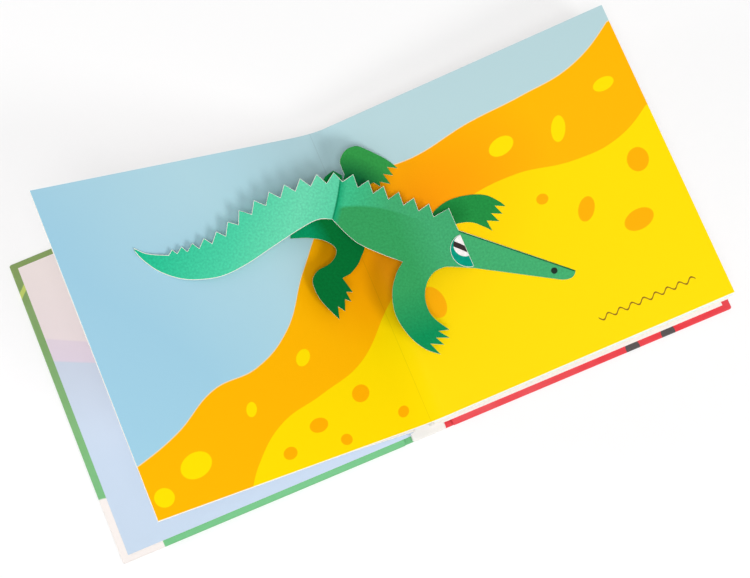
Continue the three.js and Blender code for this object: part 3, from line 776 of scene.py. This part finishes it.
def crocodile_colours_and_shade(tree, where):
    """Mint at the hip, deepening along the tail, mid green on the body, teal at the claws. A bowed
    line parts the lighter back from the flank: its b is BACK_BOW's terms in 1, a and a squared. The
    darkening of the body towards the hip crease and a dark line along the snout's upper edge are
    painted shade."""
    split = add_node(tree, "SeparateXYZ", {0: where}).outputs

    def share(value, low, high):
        """0 to 1 as a value goes from low to high, both in mm."""
        return ramp(tree, value, low * MM, high * MM)

    def way_along(direction):
        """How far a place lies out along a direction on the flat sheet."""
        return add_node(tree, "VectorMath", {0: where, 1: (*direction, 0)},
                        operation="DOT_PRODUCT").outputs["Value"]

    past = calc(tree, "SUBTRACT", way_along(HIP_AWAY), (HIP_BELLY @ HIP_AWAY) * MM)
    tail = add_node(tree, "ValToRGB", {0: share(past, 0, 100)}, stops=[
        (0.0, linear("#5ccfa5")), (1.0, linear("#14b98b")), (0.2, linear("#6bd8b0")),
        (0.5, linear("#4bcda3")), (0.78, linear("#22c08f"))]).outputs[0]

    bow = calc(tree, "MULTIPLY_ADD", split["X"], -BACK_BOW[2] / MM, -BACK_BOW[1])
    arc = calc(tree, "MULTIPLY_ADD", split["X"], bow, -BACK_BOW[0] * MM)
    above = calc(tree, "ADD", split["Y"], arc)
    head = linear("#44ac72")
    back = mix(tree, share(past, -30, -3), head, linear("#3fc08b"))
    flank = mix(tree, share(split["X"], 14, 34), head, linear("#37a05e"))
    body = mix(tree, share(above, -0.6, 1.0), flank, back)
    body = mix(tree, share(split["Y"], -16, -44), body, linear("#0c8f56"))
    body = mix(tree, share(split["X"], 0.4, -0.4), body, linear("#45ad70"))

    climb = share(way_along(HIP_ALONG), HIP_BELLY @ HIP_ALONG, HIP_BACK @ HIP_ALONG)
    climb = calc(tree, "MULTIPLY", climb, climb)
    crease = calc(tree, "MULTIPLY_ADD", climb, -1.9 * MM, past)
    # Painted shade: the body darkens towards the hip crease, to a deep green line just before it, where
    # the fold lies in shade.
    body = mix(tree, share(crease, -4.6, -1.2), body, linear("#1fa876"))
    body = mix(tree, share(crease, -1.3, -0.7), body, linear("#0e8a5c"))

    # Painted shadow: a thin dark green strip along the snout's upper edge stands for the shadow of that
    # slightly raised edge.
    on_snout = calc(tree, "LESS_THAN", split["X"], 0.0)
    lip = calc(tree, "MULTIPLY", share(way_along(SNOUT_EDGE_WAY), EDGE_SHADOW_START, EDGE_SHADOW_START + 0.4), on_snout)
    body = mix(tree, lip, body, linear("#0f6638"))
    nostril = inside_ellipse(tree, where, NOSTRIL, (1.8, 1.8), 0, soft=0.08)
    whole = mix(tree, share(crease, -0.3, 0.3), body, tail)
    return mix(tree, nostril, whole, linear("#24332b"))


def rim_width(flat):
    """The bare rim's width: whole on the tail and the back, half along the belly, and next to none on
    the front leg and the snout."""
    on_tail = np.clip((flat - HIP_BELLY) @ HIP_AWAY / 4, 0, 1)
    on_back = np.clip((flat[:, 1] - 0.55 * flat[:, 0] - 7) / 6 + 0.5, 0.5, 1)
    return BARE_RIM * np.maximum(on_tail, on_back * np.clip((flat[:, 1] + 1) / 3, 0.1, 1))


crease_lines = []
for offset in (-1, -0.5, 0, 0.5, 1):
    for along in (-3, HIP_LENGTH + 9):
        crease_lines.append(HIP_BELLY + HIP_ALONG * along + HIP_AWAY * offset * band_half_width(along))
crease_lines += [(0, 4.7), (0, -18.6)]
flat, faces = cut_sheet(crocodile_outline(), crease_lines)
folded = fold_crocodile(flat)
solid, all_faces, kinds, source = thicken(folded, faces[:, ::-1], THIN_PAPER, rim_width(flat))
croc_material = printed_paper("mottled_printed_crocodile_paper_with_painted_shade", crocodile_colours_and_shade)
crocodile = piece("crocodile_sheet", solid, all_faces, [croc_material, croc_material, core], kinds,
                  flat[source], flat_angle=50)
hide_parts("crocodile")
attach(crocodile, "book_block")

# Rear legs.
# A second sheet is folded over under the hip: the near leg hangs down over the left page and the far
# leg reaches out behind the back. It is printed in darker greens, with painted shade where it goes
# under the tail and body.
LEG_DROP = 0.75
leg_origin = hip_bottom - [0, 0, LEG_DROP]


def turned(direction, axis, degrees):
    """Rodrigues' rotation of a direction about an axis square to it."""
    angle = math.radians(degrees)
    return direction * math.cos(angle) + np.cross(axis, direction) * math.sin(angle)


near_out = turned(tail_out, hip_line, degrees=-6)
far_out = turned(square_to_hip(HEAD), hip_line, degrees=12.9)
NEAR_LEG = [[(0, HIP_LENGTH), (1.5, 26.6), (7.1, 27.3), (10.4, 22.2), (12, 14), (13, 4), (16.5, -6),
             (19.9, -17)],
            spline([(19.4, -19.2), (10, -15.2), (1.2, -13.2), (-6, -14.5), (-7.7, -19), (-5.4, -25),
                    (-0.2, -31), (0.6, -38), (-6.4, -46), (-19.5, -52.7)]),
            [(-16.6, -45.9), (-21.3, -47.1), (-19.3, -40.7), (-23.1, -40.6), (-18.8, -36.5),
             (-22.4, -35.2), (-14.8, -29.8)],
            spline([(-18.4, -26), (-21, -19.9), (-21.9, -14), (-22, -8), (-17, -1)]), [(0, 4)]]
FAR_LEG = [[(0, 3), (9, 13), (13, 25), (17.8, 30.5), (22.6, 29.8), (21.2, 32.4), (27.8, 33.9),
            (21.8, 37.6), (27.9, 39.4), (23, 42.5)],
           spline([(29.4, 44.6), (21.5, 46.6), (8.7, 47.1), (1.7, 46.3), (-3.5, 41.4), (-5.1, 34.6),
                   (-3, 30.9), (-0.2, 27.5)]), [(0, HIP_LENGTH)]]


def leg_print_and_painted_shade(base, deep, centre, radii, turn):
    """Flat green that turns into another in a soft patch. On the far legs the patch is a darker green
    where the leg goes under the body: painted shade. On the near rear leg it is a lighter teal on the
    thigh, and the dark green round it is partly the leg's print and partly painted shade under the tail
    and body.
    """
    def colour_of(tree, where):
        patch = inside_ellipse(tree, where, centre, radii, turn, soft=0.5)
        return mix(tree, patch, linear(base), linear(deep))

    return colour_of


def leg_piece(name, outline, origin, along_a, along_b, ink, node):
    """A flat leg: the outline in a and b, laid in the plane of two directions, printed side up."""
    flat, faces = cut_sheet(np.concatenate(outline))
    placed = origin + flat[:, :1] * along_a + flat[:, 1:] * along_b
    if np.cross(along_a, along_b)[2] < 0:
        faces = faces[:, ::-1]
    solid, all_faces, kinds, source = thicken(placed, faces, THIN_PAPER)
    made = piece(name, solid, all_faces, [ink, ink, core], kinds, flat[source])
    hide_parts(node)
    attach(made, "book_block")


# The near rear leg is dark green round a lighter teal thigh, the dark partly print and partly painted
# shade under the tail and body. The far rear leg has a darker patch by the body: painted shade.
near_leg_paper = printed_paper("dark_green_printed_paper_with_painted_shade", leg_print_and_painted_shade("#006c30", "#028f5c", (14, -14), (13, 9), 20))
far_leg_paper = printed_paper("leaf_green_printed_paper_with_painted_shade", leg_print_and_painted_shade("#339848", "#065c31", (6, 22), (21, 13), 8))
leg_piece("near_rear_leg", NEAR_LEG, leg_origin, near_out, hip_line, near_leg_paper, "rear_legs")
leg_piece("far_rear_leg", FAR_LEG, leg_origin, far_out, hip_line, far_leg_paper, "rear_legs")

# Far front leg.
# A small leg of the same paper, glued flat on the right page, that looks out behind the head.
LEG_LIFT = 0.45
right_out = np.array([math.cos(RIGHT_TILT), 0, math.sin(RIGHT_TILT)])
right_up = np.array([-math.sin(RIGHT_TILT), 0, math.cos(RIGHT_TILT)])
FAR_FRONT_LEG = [spline([(43, 16), (46.5, 20.2), (56, 22.6), (67, 21.1), (76.4, 16.9), (82.2, 10.3),
                         (84.1, 6.6)]),
                 [(78.7, 9.4), (81, 3.4), (75.2, 6.2), (77.6, 0.3), (71.4, 3.4)],
                 spline([(72, -3.3), (69.2, 0.3), (63, 6.1), (55, 8.6), (47, 9), (43, 16)])[:-1]]
# Painted shade: the far front leg darkens in a soft patch at its root, where it goes under the body.
front_leg_paper = printed_paper("mid_green_printed_paper_with_painted_shade", leg_print_and_painted_shade("#238e42", "#177a35", (52, 14), (10, 8), 0))
front_origin = np.array([GUTTER[0], 0, GUTTER[1]]) + right_up * LEG_LIFT
leg_piece("far_front_leg_paper", FAR_FRONT_LEG, front_origin, right_out, TO_HEAD, front_leg_paper,
          "far_front_leg")

# Eye.
# Half a disc of teal paper glued on the head, its straight side on the crease, printed with a white
# eye and a dark slanting lid.
EYE_CENTRE = (0.3, -7.7)
EYE_RADIUS = 9.7
EYE_LIFT = 0.5
EYE_RIM = 0.2
WHITE_CENTRE = (0.8, -4.6)
WHITE_RADIUS = 6.3
LID_CENTRE = (2.5, -5.0)
LID_TURN = math.radians(42)
LID_HALF = 1.5


def eye_ink(tree, where):
    """White disc on teal, crossed by a dark bar between two straight edges."""
    white = inside_ellipse(tree, where, WHITE_CENTRE, (WHITE_RADIUS, WHITE_RADIUS), 0)
    local = add_node(tree, "Mapping", {
        "Vector": where, "Location": (LID_CENTRE[0] * MM, LID_CENTRE[1] * MM, 0),
        "Rotation": (0, 0, LID_TURN)}, vector_type="TEXTURE").outputs[0]
    away = calc(tree, "ABSOLUTE", add_node(tree, "SeparateXYZ", {0: local}).outputs["Y"])
    lid = ramp(tree, away, (LID_HALF + 0.15) * MM, LID_HALF * MM)
    inner = mix(tree, lid, linear("#fbf4f4"), linear("#3b3030"))
    return mix(tree, white, linear("#039c80"), inner)


arc = np.linspace(-math.pi / 2, math.pi / 2, 60)
eye_outline = EYE_CENTRE + EYE_RADIUS * np.column_stack([np.cos(arc), np.sin(arc)])
flat, faces = cut_sheet(eye_outline, spacing=2.0)
body_up = np.array([math.sin(BODY_RISE), 0, math.cos(BODY_RISE)])
raised = on_body(flat) + body_up * EYE_LIFT
eye_rim = np.full(len(flat), EYE_RIM)
solid, all_faces, kinds, source = thicken(raised, faces[:, ::-1], THIN_PAPER, eye_rim)
eye_print = printed_paper("teal_printed_paper_eye", eye_ink, grain=2.0)
eye = piece("eye_half_disc", solid, all_faces, [eye_print, eye_print, core], kinds, flat[source])
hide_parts("eye")
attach(eye, "book_block")

# Table.
# A plain white matt surface that takes the book's soft shadow. It lies a hair below the covers, so that
# no two faces share a plane. Seen directly it is lifted towards white, as in a bright product picture.
TABLE_REACH = 4
TABLE_DROP = 0.1
table_corners = [(x * TABLE_REACH, y * TABLE_REACH, -TABLE_DROP * MM)
                 for x, y in ((-1, -1), (1, -1), (1, 1), (-1, 1))]
table_mesh = bpy.data.meshes.new("table")
table_mesh.from_pydata(table_corners, [], [(0, 1, 2, 3)])
table = bpy.data.objects.new("table", table_mesh)
bpy.context.collection.objects.link(table)
table_material = bpy.data.materials.new("matt_white_table")
table_material.use_nodes = True
table_tree = table_material.node_tree
table_shader = table_tree.nodes["Principled BSDF"]
table_shader.inputs["Base Color"].default_value = linear("#fbfafa")
table_shader.inputs["Roughness"].default_value = 0.9
table_shader.inputs["Specular IOR Level"].default_value = 0.2
seen = add_node(table_tree, "LightPath").outputs
direct = calc(table_tree, "MAXIMUM", seen["Is Camera Ray"], seen["Is Glossy Ray"])
direct = calc(table_tree, "MAXIMUM", direct, seen["Is Transmission Ray"])
lift = calc(table_tree, "MULTIPLY", direct, 0.55)
glow = add_node(table_tree, "Emission", {"Color": (1, 1, 1, 1), "Strength": 1.0}).outputs[0]
blend = add_node(table_tree, "MixShader", {0: lift, 1: table_shader.outputs[0], 2: glow}).outputs[0]
table_tree.links.new(blend, table_tree.nodes["Material Output"].inputs["Surface"])
table_mesh.materials.append(table_material)

# Light.
# A large soft lamp from the foot of the book and a little to its right, one overhead, a low one that
# reaches under the raised leaf from the left, and an even white room.
world = bpy.data.worlds.new("white_room")
bpy.context.scene.world = world
world.use_nodes = True
world.node_tree.nodes["Background"].inputs["Color"].default_value = (1, 1, 1, 1)
world.node_tree.nodes["Background"].inputs["Strength"].default_value = 0.34
WINDOW_DISTANCE = 1.8


def looking(place, target, roll=0.0):
    """World matrix of a camera or lamp at place that looks at target, rolled about its own axis."""
    back = (place - target) / np.linalg.norm(place - target)
    right = np.cross([0, 0, 1.0], back)
    right /= np.linalg.norm(right)
    up = np.cross(back, right)
    c, s = math.cos(roll), math.sin(roll)
    columns = np.column_stack([c * right + s * up, c * up - s * right, back])
    matrix = Matrix.Identity(4)
    for row in range(3):
        matrix[row][:3] = columns[row]
        matrix[row][3] = place[row]
    return matrix


def soft_lamp(name, size, energy, place, target=(0, 0, 0)):
    """A round area lamp, size metres across and energy watts, that looks at its target."""
    lamp_data = bpy.data.lights.new(name, "AREA")
    lamp_data.shape = "DISK"
    lamp_data.size = size
    lamp_data.energy = energy
    lamp = bpy.data.objects.new(name, lamp_data)
    bpy.context.collection.objects.link(lamp)
    lamp.matrix_world = looking(np.asarray(place, float), np.asarray(target, float))


window_way = np.array([0.44, -0.9, 1.0])
window_place = window_way / np.linalg.norm(window_way) * WINDOW_DISTANCE
soft_lamp("soft_window", size=0.62, energy=11.2, place=window_place)
soft_lamp("low_side_window", size=0.4, energy=2.7, place=(-0.85, 0.4, 0.28), target=(-0.16, 0.06, 0))
soft_lamp("overhead_window", size=0.6, energy=10.9, place=(-0.1, -0.38, 1.57))

# Camera.
# Almost straight above the book and a little towards its foot, turned so that the pages climb.
camera_data = bpy.data.cameras.new("camera")
camera = bpy.data.objects.new("camera", camera_data)
bpy.context.collection.objects.link(camera)
camera_data.sensor_fit = "HORIZONTAL"
camera_data.sensor_width = 36
camera_data.lens = 74.79
camera_data.clip_start = 0.05
AZIMUTH = math.radians(-12.568)
ELEVATION = math.radians(80.631)
ROLL = math.radians(-10.216)
DISTANCE = 0.90016
target = np.array([0.003749, -0.00255, 0])
direction = np.array([math.sin(AZIMUTH) * math.cos(ELEVATION), -math.cos(AZIMUTH) * math.cos(ELEVATION),
                      math.sin(ELEVATION)])
camera.matrix_world = looking(target + direction * DISTANCE, target, ROLL)
bpy.context.scene.camera = camera
bpy.context.scene.view_settings.view_transform = "Standard"
